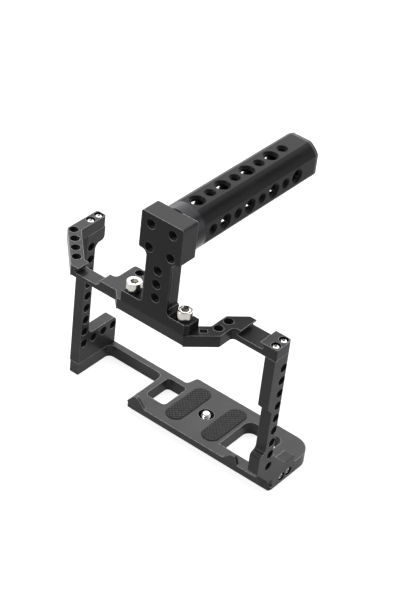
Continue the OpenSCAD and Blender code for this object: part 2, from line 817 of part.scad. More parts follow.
module left_top_screws() {
    color([0.7, 0.7, 0.7])
        for (s = [0, 1])
            translate([left_mid, top_left_y - s * top_pitch, m3_seat])
                pan_screw();
}
module right_top_screws() {
    color([0.7, 0.7, 0.7])
        for (s = [0, 1])
            translate([right_mid, top_right_y - s * top_pitch, m3_seat])
                pan_screw();
}
module left_foot_screws() {
    color([0.7, 0.7, 0.7])
        for (y = foot_left_y)
            translate([left_mid, y, -plate_t + cbore_t])
                rotate([180, 0, 0])
                    pan_screw();
}
module right_foot_screws() {
    color([0.7, 0.7, 0.7])
        for (y = foot_right_y)
            translate([right_out - cbore_t, y, foot_screw_z])
                rotate([0, 90, 0])
                    pan_screw();
}

module handle_tube() {
    color([0.08, 0.08, 0.09])
    translate([-handle_x, tube_y, tube_z])
        difference() {
            union() {
                rod_y([0, 0, 0], tube_d / 2, neck_l);
                intersection() {
                    rod_y([0, 0, 0], tube_d / 2, tube_l);
                    translate([-flat_w / 2, neck_l - 0.01, -flat_w / 2])
                        cube([flat_w, tube_l, flat_w]);
                }
            }
            rod_y([0, front_wall, 0], bore_d / 2, tube_l);
            rod_y([0, -e, 0], m8_d / 2 + play, front_wall + 2 * e);
            for (k = [0:tube_stations - 1])
                for (a = [0:90:270])
                    translate([0, first_station + k * station, 0])
                        rotate([0, a, 0])
                            tapped(k % 2 == (a % 180 == 0 ? 0 : 1) ? big_d : small_d);
        }
}
module tapped(d) {
    cylinder(r = d / 2, h = tube_d);
    translate([0, 0, flat_w / 2 - sink_d / 2])
        cylinder(r1 = d / 2, r2 = d / 2 + sink_d / 2 + 0.1, h = sink_d / 2 + 0.1);
}

module handle_bolt() {
    color([0.3, 0.3, 0.31])
        translate([-handle_x, tube_y + front_wall + play, tube_z])
            rotate([-90, 0, 0])
                cap_screw(m8_d, m8_head_d, m8_head_h, front_wall + m8_in, 6);
}

module handle_end_plug() {
    color([0.1, 0.1, 0.1])
        translate([-handle_x, tube_y + tube_l, tube_z])
            union() {
                intersection() {
                    rod_y([0, 0, 0], tube_d / 2, plug_t);
                    translate([-flat_w / 2, -e, -flat_w / 2])
                        cube([flat_w, plug_t + 2 * e, flat_w]);
                }
                rod_y([0, -plug_stem, 0], bore_d / 2 - play, plug_stem + 0.1);
            }
}

base_plate();
left_grip_pad();
right_grip_pad();
camera_screw();
screw_washer();
screw_ring();
screw_circlip();
left_upright();
right_upright();
top_rail();
handle_bracket();
left_clamp_screw();
right_clamp_screw();
left_top_screws();
right_top_screws();
left_foot_screws();
right_foot_screws();
handle_tube();
handle_bolt();
handle_end_plug();
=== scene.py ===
# Camera cage with a tube handle: finishes, screws, threads, knurled pads and studio.
# Sizes and places are millimetres here, and MM turns them to the frame's metres where a mesh is made.
# +X runs right along the plate, +Y back and +Z up, from the camera screw's axis at the plate's top.
import json
import math

import bmesh
import bpy
from mathutils import Matrix, Vector


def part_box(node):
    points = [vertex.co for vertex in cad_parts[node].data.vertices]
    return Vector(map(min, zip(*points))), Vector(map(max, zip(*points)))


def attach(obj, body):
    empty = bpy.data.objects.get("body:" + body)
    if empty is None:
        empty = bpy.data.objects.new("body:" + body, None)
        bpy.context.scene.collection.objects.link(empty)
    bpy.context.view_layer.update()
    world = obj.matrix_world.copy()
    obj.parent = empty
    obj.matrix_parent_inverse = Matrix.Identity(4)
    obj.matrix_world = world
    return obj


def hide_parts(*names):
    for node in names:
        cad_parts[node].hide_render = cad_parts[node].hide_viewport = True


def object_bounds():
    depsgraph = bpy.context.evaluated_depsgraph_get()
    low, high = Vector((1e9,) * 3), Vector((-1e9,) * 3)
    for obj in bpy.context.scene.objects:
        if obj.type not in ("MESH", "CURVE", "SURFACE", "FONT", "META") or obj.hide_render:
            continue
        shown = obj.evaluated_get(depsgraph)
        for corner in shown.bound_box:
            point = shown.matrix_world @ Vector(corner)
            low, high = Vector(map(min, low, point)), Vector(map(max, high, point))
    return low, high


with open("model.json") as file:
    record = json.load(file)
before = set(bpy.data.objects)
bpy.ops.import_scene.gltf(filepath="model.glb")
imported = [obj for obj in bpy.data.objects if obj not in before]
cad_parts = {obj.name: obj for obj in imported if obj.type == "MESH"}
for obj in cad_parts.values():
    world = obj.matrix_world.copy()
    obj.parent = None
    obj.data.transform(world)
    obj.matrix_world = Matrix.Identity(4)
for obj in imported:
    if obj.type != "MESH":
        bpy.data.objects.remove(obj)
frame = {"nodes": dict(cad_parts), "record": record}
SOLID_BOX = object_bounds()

bl_info = {
    "name": "Camera cage",
    "version": (1, 0, 0),
    "blender": (4, 5, 0),
    "location": "3D View > Sidebar > Cage",
    "description": "Dresses a camera cage with finishes, threads, knurled pads and a studio",
    "category": "Object",
}

MM = 0.001
RIGHT = (1, 0, 0)
BACK = (0, 1, 0)
UP = (0, 0, 1)
DOWN = (0, 0, -1)
AXES = (RIGHT, BACK, UP)

# Frame parts, the tone painted on two of them as light and shade (lighter on the plate, darker on the
# bracket), and how far their edges are rounded
FRAME_PARTS = ("base_plate", "left_upright", "right_upright", "top_rail", "handle_bracket")
PAINTED_PART_TONES = {"base_plate": 1.5, "handle_bracket": 0.4}
EDGE_ROUND = 0.65

# Painted shade along the lines where two parts meet, on the right foot's tongue and on the flange above it
JOINT_SHADE_REACH = 1.0
TONGUE_DEPTH = 17.2
FLANGE_SETBACK = 4.0
FLANGE_EDGE = (5.0, 7.0)

# Rubber pads: samples across a diamond, how full it is, and how the knurl fades out along the rim
PADS = ("left_grip_pad", "right_grip_pad")
KNURL_STEPS = 8
KNURL_FULLNESS = 1.6
KNURL_FADE = 0.5
RIM_DROP = 0.25

# Camera screw, 1/4 inch with 20 threads an inch, its head, neck and bevelled tip, and the lug for its ring
QUARTER_INCH_PITCH = 25.4 / 20
QUARTER_INCH_CORE = 2.6
CAMERA_HEAD_TOP = -6.35
CAMERA_HEAD_BOTTOM = -7.95
CAMERA_HEAD_BEVEL = 0.3
CAMERA_NECK = 2.5
CAMERA_NECK_STEP = 0.1
CAMERA_THREAD_START = -3.8
CAMERA_THREAD_STOP = 0.3
CAMERA_TIP_HEIGHT = 0.6
CAMERA_TIP_BEVEL = 0.4
LUG_HALF = (3.0, 1.8)
LUG_OVERLAP = 0.05

# How many steps a full turn is drawn in: heads, smaller round parts, shanks and the threads of holes
HEAD_STEPS = 72
ROUND_STEPS = 48
SHANK_STEPS = 32
HOLE_STEPS = 28

# Over how many turns a hole's thread fades out at both ends: through a part, and in a flat's thin wall
THROUGH_FADE = 0.9
FLAT_FADE = 0.4

# M6 clamp screws, and M3 pan head screws with the profile of their head from its seat
M6_RADIUS = 3.0
M6_PITCH = 1.0
M6_HEAD = 6.0
M6_KEY = 5.0
M3_RADIUS = 1.5
M3_PITCH = 0.5
M3_LENGTH = 12.0
PAN_RADIUS = 2.7
PAN_HEIGHT = 2.0
PAN_HEAD = ((0.0, 0.0), (2.6, 0.0), (PAN_RADIUS, 0.15), (PAN_RADIUS, 0.9), (2.55, 1.3), (2.2, 1.65),
    (1.6, 1.88), (0.9, 1.98), (0.0, PAN_HEIGHT))
CROSS_WIDTH = 3.0
CROSS_DEPTH = 1.3

# Small screws: node, the way its heads face, and the end of the pair that is made first
SMALL_SCREWS = (
    ("left_top_screws", UP, "back"),
    ("right_top_screws", UP, "back"),
    ("left_foot_screws", DOWN, "front"),
    ("right_foot_screws", RIGHT, "front"),
)

# Web at the left arm's end: half width, thickness, and how far it stays inside the arm's faces
WEB_HALF = 1.3
WEB_THICK = 0.29
WEB_SKIN = 0.01

# Tapped holes of the frame: how far inside the faces their threads start, and the threads themselves
HOLE_LEAD = 0.3
HOLE_THREAD_PITCH = 1.0
HOLE_THREAD_DEPTH = 0.45
HOLE_THREAD_SINK = 0.02
COLUMN_DEPTH = 12.0
ARM_HOLES = 4
ARM_FIRST_HOLE = (-99.15, -31.55)
REAR_HOLE = (-38.4, -37.2)

# Handle tube, and how far inside a flat's wall its threads start
NECK_LENGTH = 9.9
FLAT_CUT = 1.5
FLAT_WALL = 3.0
FLAT_LEAD = 0.05
COUNTERSINK = 0.9
TUBE_STATIONS = 8

# Studio in metres: each soft light's place and size, where they aim, and the floor
LIGHTS = {
    "top_light": ((-0.45, 0.75, 1.0), (2.2, 2.0)),
    "right_light": ((1.1, 0.75, 0.45), (0.8, 0.8)),
    "left_light": ((-1.2, -0.9, 0.35), (0.6, 0.8)),
    "glint_light": ((-0.74, -0.94, 1.06), (0.3, 0.3)),
}
LIGHT_AIM = (0, 0, 0.08)
FLOOR_SIZE = 6.0
FLOOR_GAP = 0.0002
FLOOR_GLOW = 0.85
FLOOR_FAINT = 0.35

# Camera in metres and degrees, solved from the cage's long edges and rows of holes
CAMERA_PLACE = (0.539467, -0.805547, 0.804499)
CAMERA_TURN = (53.5235, -5.5963, 38.7011)
CAMERA_LENS = 112.816
CAMERA_SENSOR = 36
CAMERA_RANGE = (0.05, 50)


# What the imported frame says, in mm
def corners(node):
    """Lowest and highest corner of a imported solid."""
    return [[c / MM for c in corner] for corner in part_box(node)]


def mount(name):
    """Place and dimensions of a mount."""
    for row in frame["record"]["mounts"]:
        if row["name"] == name:
            return [c / MM for c in row["pos_m"]], row["dims"]
    raise ValueError("no mount named " + name)


def slot_of(node):
    """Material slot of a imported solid."""
    for row in frame["record"]["subparts"]:
        if row["node"] == node:
            return row["material_slot"]
    raise ValueError("no material slot for " + node)


def midway(low, high):
    """The point halfway between two corners."""
    return [(a + b) / 2 for a, b in zip(low, high)]


# Colour, pattern and node helpers
def linear(code):
    """sRGB hex code to linear red, green, blue and alpha."""
    parts = [int(code[i:i + 2], 16) / 255 for i in (1, 3, 5)]
    return [c / 12.92 if c <= 0.04045 else ((c + 0.055) / 1.055) ** 2.4 for c in parts] + [1]


def grey(value):
    """A neutral colour of this linear value."""
    return (value, value, value, 1)


def grain_scale(size):
    """Scale of a noise or cell texture whose marks are this many mm wide."""
    return 1 / (size * MM)


def wave_scale(pitch):
    """Scale of a wave texture whose lines are this many mm apart: it turns 20 radians a unit."""
    return 2 * math.pi / (20 * pitch * MM)


def add_node(tree, kind, settings=None, links=None):
    """Adds a node, sets its attributes, its sockets or a ramp's two stops, and links its inputs."""
    node = tree.nodes.new(kind)
    for key, value in (settings or {}).items():
        if key == "stops":
            for stop, (place, tint) in zip(node.color_ramp.elements, value):
                stop.position = place
                stop.color = tint
        elif isinstance(key, str) and hasattr(node, key) and key not in node.inputs:
            setattr(node, key, value)
        else:
            node.inputs[key].default_value = value
    for key, source in (links or {}).items():
        tree.links.new(source, node.inputs[key])
    return node


def new_material(name, settings):
    """A material with one Principled shader set from the given sockets, and the object's own coordinates."""
    mat = bpy.data.materials.new(name)
    mat.use_nodes = True
    tree = mat.node_tree
    tree.nodes.clear()
    shader = add_node(tree, "ShaderNodeBsdfPrincipled", settings)
    add_node(tree, "ShaderNodeOutputMaterial", None, {"Surface": shader.outputs[0]})
    where = add_node(tree, "ShaderNodeTexCoord")
    return mat, tree, shader, where.outputs["Object"]


def pale_rays(tree):
    """Marks the rays that see the pale background: camera, glossy and transmission."""
    path = add_node(tree, "ShaderNodeLightPath")
    mirrored = add_node(tree, "ShaderNodeMath", {"operation": "MAXIMUM"},
        {0: path.outputs["Is Glossy Ray"], 1: path.outputs["Is Transmission Ray"]})
    seen = add_node(tree, "ShaderNodeMath", {"operation": "MAXIMUM"},
        {0: path.outputs["Is Camera Ray"], 1: mirrored.outputs[0]})
    return seen.outputs[0]


# Values that the user may change
def colour(name, code, use):
    """A colour, given as an sRGB hex code."""
    return bpy.props.FloatVectorProperty(name=name, description=use, subtype="COLOR", size=4,
        default=linear(code), min=0.0, max=1.0)


def distance(name, size, least, most, use):
    """A size, given in mm and kept in metres."""
    return bpy.props.FloatProperty(name=name, description=use, subtype="DISTANCE", precision=4,
        default=size * MM, min=least * MM, max=most * MM)


def power(name, watts, use):
    """A lamp's power in watts."""
    return bpy.props.FloatProperty(name=name, description=use, unit="POWER", default=watts, min=0.0)


class CageFinish(bpy.types.PropertyGroup):
    """Colours and roughness of the cage's finishes"""
    frame_dark: colour("Frame, dark patches", "#2A2A2B", "Colour of the frame where the dye took most")
    frame_light: colour("Frame, light patches", "#323233", "Colour of the frame where the dye took least")
    # part wear and part painted highlight: the pale colour laid on the frame's edges, strongest where they
    # face up
    frame_edge_wear_and_highlight: colour("Frame edges", "#A4A5A7", "Colour of the frame's edges, where handling thins the dye")
    # painted shade: the threads' colours are darker than the frame to stand for the shade inside the holes
    thread_dark: colour("Threads, dark", "#0C0C0C", "Darkest colour inside the tapped holes")
    thread_light: colour("Threads, light", "#161616", "Lightest colour inside the tapped holes")
    tube_dark: colour("Tube, dark", "#101011", "Darkest colour of the handle tube")
    tube_light: colour("Tube, light", "#18181A", "Lightest colour of the handle tube")
    tube_neck: colour("Tube neck", "#262628", "Colour of the tube's shiny neck")
    steel: colour("Steel", "#B9B6B2", "Colour of the bright screws")
    oxide: colour("Black oxide", "#38383A", "Colour of the dark steel pieces")
    rubber_dark: colour("Rubber, dark", "#050505", "Colour of the pads' rubber")
    # dust and painted highlight on the knurl's peaks
    rubber_dust_and_highlight: colour("Rubber, light", "#363638", "Colour of the dust and bloom on the rubber")
    nylon: colour("Nylon", "#161617", "Colour of the end plug")
    frame_rough: bpy.props.FloatProperty(name="Frame roughness", default=0.32, min=0.1, max=0.9,
        subtype="FACTOR", description="Roughness of the blasted surface")


class CageSizes(bpy.types.PropertyGroup):
    """Sizes of the knurl and the tapped holes"""
    knurl: distance("Knurl pitch", 2.0, 1.0, 3.0, "Distance between the pads' knurl lines")
    knurl_depth: distance("Knurl depth", 0.5, 0.1, 0.7, "Height of the pads' diamonds")
    hole_radius: distance("Hole radius", mount("left_side_holes_ends")[1]["hole_r_mm"], 2.0, 4.0,
        "Radius of an accessory hole")
    hole_spacing: distance("Hole spacing", mount("rail_bend_holes")[1]["spacing_y_mm"], 8.0, 12.0,
        "Distance between accessory holes")


class CageStudio(bpy.types.PropertyGroup):
    """Lights and floor of the studio"""
    top_light: power("Top light", 43, "Power of the large light above and behind")
    right_light: power("Right light", 4, "Power of the light behind on the right")
    left_light: power("Left light", 1, "Power of the light low on the left")
    glint_light: power("Glint light", 8, "Power of the small light that picks out edges")
    surroundings: bpy.props.FloatProperty(name="Surroundings", default=0.11, min=0.0, max=1.0,
        subtype="FACTOR", description="Strength of the plain light from all round")
    backdrop: colour("Floor", "#F4F4F4", "Colour of the floor")


# Finishes
def joint_shade_zones():
    """Boxes of painted shade round the lines where two frame parts meet, as stretches along X, Y and Z in mm.
    """
    def around(start, end=None):
        """From one place to another, or to itself, and past both by the reach of the dark line."""
        return start - JOINT_SHADE_REACH, (start if end is None else end) + JOINT_SHADE_REACH

    seat_low, seat_high = corners("handle_bracket")
    foot_low, foot_high = corners("right_upright")
    plate_low, _ = corners("base_plate")
    back = foot_high[1]
    front = back - TONGUE_DEPTH
    across = around(foot_low[0], foot_high[0])
    deep = (plate_low[2], JOINT_SHADE_REACH)
    zones = [
        # front edge of the bracket on the rail
        ((seat_low[0], seat_high[0]), around(seat_low[1]), around(seat_low[2])),
        # back and front ends of the right foot's tongue, on the plate's top and end faces
        (across, around(back), deep),
        (across, around(front), deep),
        # underside of the right foot, on the plate's front and end edges
        (across, around(plate_low[1], front), around(0.0)),
        # outer edge of the right foot's flange
        (around(foot_high[0]), (front + FLANGE_SETBACK, back), FLANGE_EDGE),
    ]
    # rims of the seats that the pads are pressed into
    for pad in PADS:
        low, high = corners(pad)
        zones.append((around(low[0], high[0]), around(low[1], high[1]), (-JOINT_SHADE_REACH, high[2])))
    return zones


def joint_shade_mask(tree, where):
    """A mask that is 1 inside the zones of painted shade round the frame's joints and 0 elsewhere."""
    masks = []
    for zone in joint_shade_zones():
        middle = [(start + end) / 2 * MM for start, end in zone]
        half = [(end - start) / 2 * MM for start, end in zone]
        away = add_node(tree, "ShaderNodeVectorMath", {"operation": "SUBTRACT", 1: middle}, {0: where})
        span = add_node(tree, "ShaderNodeVectorMath", {"operation": "ABSOLUTE"}, {0: away.outputs[0]})
        share = add_node(tree, "ShaderNodeVectorMath", {"operation": "DIVIDE", 1: half}, {0: span.outputs[0]})
        axes = add_node(tree, "ShaderNodeSeparateXYZ", None, {0: share.outputs[0]})
        wide = add_node(tree, "ShaderNodeMath", {"operation": "MAXIMUM"},
            {0: axes.outputs[0], 1: axes.outputs[1]})
        most = add_node(tree, "ShaderNodeMath", {"operation": "MAXIMUM"},
            {0: wide.outputs[0], 1: axes.outputs[2]})
        mask = add_node(tree, "ShaderNodeMath", {"operation": "LESS_THAN", 1: 1.0}, {0: most.outputs[0]})
        masks.append(mask.outputs[0])
    found = masks[0]
    for mask in masks[1:]:
        found = add_node(tree, "ShaderNodeMath", {"operation": "MAXIMUM"}, {0: found, 1: mask}).outputs[0]
    return found


def blasted_anodised_aluminium(tone=1.0):
    """Aluminium blasted with beads and anodised black: the dyed oxide scatters more than the metal shines."""
    finish = bpy.context.scene.cage_finish
    mat, tree, shader, where = new_material("blasted anodised aluminium", {"Metallic": 0.15,
        "Specular IOR Level": 0.05, "Coat Weight": 0.1, "Coat Roughness": 0.1})
    # bead marks are about 0.1 mm, drawn at 0.3 mm so that they show
    grain = add_node(tree, "ShaderNodeTexNoise",
        {"Scale": grain_scale(0.3), "Detail": 3.0, "Roughness": 0.6}, {"Vector": where})
    # the dye takes a little unevenly over patches of about 25 mm
    cloud = add_node(tree, "ShaderNodeTexNoise", {"Scale": grain_scale(25), "Detail": 2.0}, {"Vector": where})
    # the tone lightens or darkens the colour as painted light or shade on some parts
    dark = [c * tone for c in finish.frame_dark]
    light = [c * tone for c in finish.frame_light]
    patches = add_node(tree, "ShaderNodeValToRGB", {"stops": [(0.3, dark), (0.7, light)]},
        {"Fac": cloud.outputs["Fac"]})
    # edges are tumbled round; a pale colour on them is part wear and part painted highlight, strongest where
    # they face up
    rounded = add_node(tree, "ShaderNodeBevel", {"samples": 6, "Radius": EDGE_ROUND * MM})
    flat = add_node(tree, "ShaderNodeNewGeometry")
    turned = add_node(tree, "ShaderNodeVectorMath", {"operation": "DOT_PRODUCT"},
        {0: rounded.outputs[0], 1: flat.outputs["Normal"]})
    thin = add_node(tree, "ShaderNodeValToRGB", {"stops": [(0.9, grey(1.0)), (0.99, grey(0.0))]},
        {"Fac": turned.outputs["Value"]})
    # painted highlight: edges that face up get the full pale colour, those that face down a tenth of it
    slope = add_node(tree, "ShaderNodeSeparateXYZ", None, {0: rounded.outputs[0]})
    up_facing_light = add_node(tree, "ShaderNodeMapRange", {"From Min": -0.1, "From Max": 0.6, "To Min": 0.1},
        {"Value": slope.outputs["Z"]})
    # painted shade: edges where two parts meet, the flange's outer edge and the pads' seat rims turn near
    # black
    joint_shade = joint_shade_mask(tree, where)
    edge_highlight_or_joint_shade = add_node(tree, "ShaderNodeMixRGB", {"Color1": finish.frame_edge_wear_and_highlight, "Color2": grey(0.003)},
        {"Fac": joint_shade})
    # painted highlight on edges that face up, painted shade on edges in the joint zones
    reach = add_node(tree, "ShaderNodeMath", {"operation": "MAXIMUM"}, {0: up_facing_light.outputs[0], 1: joint_shade})
    edge_paint = add_node(tree, "ShaderNodeMath", {"operation": "MULTIPLY"},
        {0: thin.outputs[0], 1: reach.outputs[0]})
    worn_and_painted_edges = add_node(tree, "ShaderNodeMixRGB", None,
        {"Fac": edge_paint.outputs[0], "Color1": patches.outputs[0], "Color2": edge_highlight_or_joint_shade.outputs[0]})
    # painted shade: the colour darkens within about 1.2 mm of a joint or corner
    occlusion = add_node(tree, "ShaderNodeAmbientOcclusion", {"samples": 6, "Distance": 1.2 * MM})
    occlusion_shade = add_node(tree, "ShaderNodeValToRGB", {"stops": [(0.4, grey(0.12)), (0.85, grey(1.0))]},
        {"Fac": occlusion.outputs["AO"]})
    base = add_node(tree, "ShaderNodeMixRGB", {"blend_type": "MULTIPLY", "Fac": 1.0},
        {"Color1": worn_and_painted_edges.outputs[0], "Color2": occlusion_shade.outputs[0]})
    tree.links.new(base.outputs[0], shader.inputs["Base Color"])
    rough = add_node(tree, "ShaderNodeValToRGB",
        {"stops": [(0.3, grey(finish.frame_rough - 0.04)), (0.7, grey(finish.frame_rough + 0.05))]},
        {"Fac": grain.outputs["Fac"]})
    tree.links.new(rough.outputs[0], shader.inputs["Roughness"])
    bump = add_node(tree, "ShaderNodeBump", {"Strength": 0.12, "Distance": 0.05 * MM},
        {"Height": grain.outputs["Fac"], "Normal": rounded.outputs[0]})
    tree.links.new(bump.outputs[0], shader.inputs["Normal"])
    return mat


def anodised_thread():
    """Threads cut in black anodised aluminium, painted darker than the faces as shade inside the holes."""
    finish = bpy.context.scene.cage_finish
    mat, tree, shader, where = new_material("anodised cut thread", {"Metallic": 0.1, "Roughness": 0.4,
        "Specular IOR Level": 0.1})
    # tool marks of about 0.4 mm round the bore
    marks = add_node(tree, "ShaderNodeTexNoise",
        {"Scale": grain_scale(0.4), "Detail": 2.0}, {"Vector": where})
    # painted shade inside the holes, mottled by the tool marks
    base = add_node(tree, "ShaderNodeValToRGB",
        {"stops": [(0.3, finish.thread_dark), (0.7, finish.thread_light)]}, {"Fac": marks.outputs["Fac"]})
    tree.links.new(base.outputs[0], shader.inputs["Base Color"])
    return mat


def satin_black_aluminium():
    """Turned tube, anodised black after its flats were milled, its neck left shinier: faint turning lines."""
    finish = bpy.context.scene.cage_finish
    mat, tree, shader, where = new_material("satin black anodised aluminium", {"Specular IOR Level": 0.06})
    # turning feed 0.2 mm, drawn at 0.8 mm so that it shows
    lines = add_node(tree, "ShaderNodeTexWave", {"wave_type": "BANDS", "bands_direction": "Y",
        "Scale": wave_scale(0.8), "Distortion": 0.3}, {"Vector": where})
    # the dye takes unevenly over patches of about 17 mm
    cloud = add_node(tree, "ShaderNodeTexNoise", {"Scale": grain_scale(17), "Detail": 3.0}, {"Vector": where})
    dyed = add_node(tree, "ShaderNodeValToRGB",
        {"stops": [(0.3, finish.tube_dark), (0.7, finish.tube_light)]}, {"Fac": cloud.outputs["Fac"]})
    # bare metal shines through on the neck
    place = add_node(tree, "ShaderNodeSeparateXYZ", None, {0: where})
    neck_end = (corners("handle_tube")[0][1] + NECK_LENGTH) * MM
    neck = add_node(tree, "ShaderNodeMapRange", {"From Min": neck_end, "From Max": neck_end - 0.3 * MM},
        {"Value": place.outputs["Y"]})
    base = add_node(tree, "ShaderNodeMixRGB", {"Color2": finish.tube_neck},
        {"Fac": neck.outputs[0], "Color1": dyed.outputs[0]})
    tree.links.new(base.outputs[0], shader.inputs["Base Color"])
    bare = add_node(tree, "ShaderNodeValToRGB", {"stops": [(0.0, grey(0.0)), (1.0, grey(0.8))]},
        {"Fac": neck.outputs[0]})
    tree.links.new(bare.outputs[0], shader.inputs["Metallic"])
    rough = add_node(tree, "ShaderNodeValToRGB", {"stops": [(0.3, grey(0.26)), (0.7, grey(0.34))]},
        {"Fac": cloud.outputs["Fac"]})
    tree.links.new(rough.outputs[0], shader.inputs["Roughness"])
    bump = add_node(tree, "ShaderNodeBump", {"Strength": 0.08, "Distance": 0.03 * MM},
        {"Height": lines.outputs["Fac"]})
    tree.links.new(bump.outputs[0], shader.inputs["Normal"])
    return mat


def polished_stainless():
    """Stainless steel, cold headed and tumbled: bright, with soft scuffs."""
    finish = bpy.context.scene.cage_finish
    mat, tree, shader, where = new_material("polished stainless steel", {"Metallic": 1.0})
    # tumbling scuffs of about 0.5 mm
    scuff = add_node(tree, "ShaderNodeTexNoise",
        {"Scale": grain_scale(0.5), "Detail": 4.0}, {"Vector": where})
    rough = add_node(tree, "ShaderNodeValToRGB", {"stops": [(0.35, grey(0.14)), (0.7, grey(0.28))]},
        {"Fac": scuff.outputs["Fac"]})
    tree.links.new(rough.outputs[0], shader.inputs["Roughness"])
    # painted shade: the colour darkens in the recesses and thread roots
    occlusion = add_node(tree, "ShaderNodeAmbientOcclusion", {"samples": 6, "Distance": 1.5 * MM})
    base = add_node(tree, "ShaderNodeValToRGB", {"stops": [(0.3, grey(0.12)), (0.85, finish.steel)]},
        {"Fac": occlusion.outputs["AO"]})
    tree.links.new(base.outputs[0], shader.inputs["Base Color"])
    bump = add_node(tree, "ShaderNodeBump", {"Strength": 0.06, "Distance": 0.03 * MM},
        {"Height": scuff.outputs["Fac"]})
    tree.links.new(bump.outputs[0], shader.inputs["Normal"])
    return mat


def black_oxide_steel():
    """Steel with a black oxide coat: dark, a little oily."""
    finish = bpy.context.scene.cage_finish
    mat, tree, shader, where = new_material("black oxide steel",
        {"Base Color": finish.oxide, "Metallic": 1.0})
    # oxide crystals show as a mottle of about 0.4 mm
    mottle = add_node(tree, "ShaderNodeTexNoise",
        {"Scale": grain_scale(0.4), "Detail": 2.0}, {"Vector": where})
    rough = add_node(tree, "ShaderNodeValToRGB", {"stops": [(0.3, grey(0.3)), (0.7, grey(0.42))]},
        {"Fac": mottle.outputs["Fac"]})
    tree.links.new(rough.outputs[0], shader.inputs["Roughness"])
    return mat


def moulded_rubber():
    """Black rubber moulded in a blasted tool: dull, with dust in patches and painted highlight on the peaks.
    """
    finish = bpy.context.scene.cage_finish
    mat, tree, shader, where = new_material("moulded rubber", {"Roughness": 0.75, "IOR": 1.52,
        "Specular IOR Level": 0.35})
    # dust and bloom in patches of about 2 mm
    bloom = add_node(tree, "ShaderNodeTexNoise", {"Scale": grain_scale(2), "Detail": 4.0}, {"Vector": where})
    # painted highlight on the peaks of the knurl and painted shade in its grooves and on its side walls,
    # mixed with the dust patches
    place = add_node(tree, "ShaderNodeSeparateXYZ", None, {0: where})
    peak = corners(PADS[0])[1][2] * MM
    # painted light, full at the peaks and none 0.45 mm below them
    height = add_node(tree, "ShaderNodeMapRange", {"From Min": peak - 0.45 * MM, "From Max": peak},
        {"Value": place.outputs["Z"]})
    dust_and_peak_light = add_node(tree, "ShaderNodeMath", {"operation": "MULTIPLY"},
        {0: bloom.outputs["Fac"], 1: height.outputs[0]})
    base = add_node(tree, "ShaderNodeValToRGB",
        {"stops": [(0.1, finish.rubber_dark), (0.5, finish.rubber_dust_and_highlight)]}, {"Fac": dust_and_peak_light.outputs[0]})
    tree.links.new(base.outputs[0], shader.inputs["Base Color"])
    bump = add_node(tree, "ShaderNodeBump", {"Strength": 0.2, "Distance": 0.05 * MM},
        {"Height": bloom.outputs["Fac"]})
    tree.links.new(bump.outputs[0], shader.inputs["Normal"])
    return mat


def moulded_nylon():
    """Black nylon, spark eroded mould surface: fine matt grain."""
    finish = bpy.context.scene.cage_finish
    mat, tree, shader, where = new_material("moulded nylon", {"IOR": 1.53, "Base Color": finish.nylon})
    # spark eroded grain of about 0.3 mm
    grain = add_node(tree, "ShaderNodeTexVoronoi", {"Scale": grain_scale(0.3)}, {"Vector": where})
    rough = add_node(tree, "ShaderNodeValToRGB", {"stops": [(0.0, grey(0.5)), (0.8, grey(0.62))]},
        {"Fac": grain.outputs["Distance"]})
    tree.links.new(rough.outputs[0], shader.inputs["Roughness"])
    bump = add_node(tree, "ShaderNodeBump", {"Strength": 0.25, "Distance": 0.04 * MM},
        {"Height": grain.outputs["Distance"]})
    tree.links.new(bump.outputs[0], shader.inputs["Normal"])
    return mat


MAKERS = {
    "frame_metal": blasted_anodised_aluminium,
    "thread": anodised_thread,
    "handle_metal": satin_black_aluminium,
    "screw_steel": polished_stainless,
    "dark_steel": black_oxide_steel,
    "pad_rubber": moulded_rubber,
    "plug_plastic": moulded_nylon,
}
made = {}


def finish_for(slot):
    """The finish of a material slot, made once."""
    if slot not in made:
        made[slot] = MAKERS[slot]()
    return made[slot]


# Mesh helpers
def dress_solid(node, finish=None):
    """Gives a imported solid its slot's finish, or another one."""
    obj = frame["nodes"][node]
    mat = finish or finish_for(slot_of(node))
    if not obj.material_slots:
        obj.data.materials.append(mat)
    for slot in obj.material_slots:
        slot.material = mat


def piece(name, bm, slot, body, replaces=None, smooth=True, finish=None):
    """Turns a bmesh into a piece that rides on a body, in its slot's finish or another one."""
    bmesh.ops.remove_doubles(bm, verts=bm.verts, dist=0.0001 * MM)
    bmesh.ops.recalc_face_normals(bm, faces=bm.faces)
    for face in bm.faces:
        face.smooth = smooth
    for edge in bm.edges:
        if len(edge.link_faces) == 2 and edge.calc_face_angle(0) > math.radians(40):
            edge.smooth = False
    mesh = bpy.data.meshes.new(name)
    bm.to_mesh(mesh)
    bm.free()
    obj = bpy.data.objects.new(name, mesh)
    bpy.context.scene.collection.objects.link(obj)
    mesh.materials.append(finish_for(finish or slot))
    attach(obj, body)
    if replaces:
        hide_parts(replaces)
    return obj


def aim(point, axis):
    """A matrix that puts +Z along an axis at a point in mm."""
    turn = Vector(UP).rotation_difference(Vector(axis)).to_matrix().to_4x4()
    return Matrix.Translation(Vector(point) * MM) @ turn


def block(bm, low, high):
    """A block between two corners in mm."""
    size = [(b - a) * MM for a, b in zip(low, high)]
    place = Matrix.Translation(Vector(midway(low, high)) * MM)
    bmesh.ops.create_cube(bm, size=1.0, matrix=place @ Matrix.Diagonal((*size, 1.0)))


def lathe(bm, profile, steps, place):
    """Turns a profile of (radius, height) in mm about Z. A radius may be a function of the angle."""
    rings = []
    for radius, z in profile:
        if radius == 0:
            rings.append([bm.verts.new(place @ Vector((0, 0, z * MM)))])
            continue
        ring = []
        for i in range(steps):
            angle = 2 * math.pi * i / steps
            r = (radius(angle) if callable(radius) else radius) * MM
            ring.append(bm.verts.new(place @ Vector((r * math.cos(angle), r * math.sin(angle), z * MM))))
        rings.append(ring)
    for low, high in zip(rings, rings[1:]):
        for i in range(steps):
            j = (i + 1) % steps
            if len(low) == 1:
                bm.faces.new((low[0], high[i], high[j]))
            elif len(high) == 1:
                bm.faces.new((low[i], low[j], high[0]))
            else:
                bm.faces.new((low[i], low[j], high[j], high[i]))


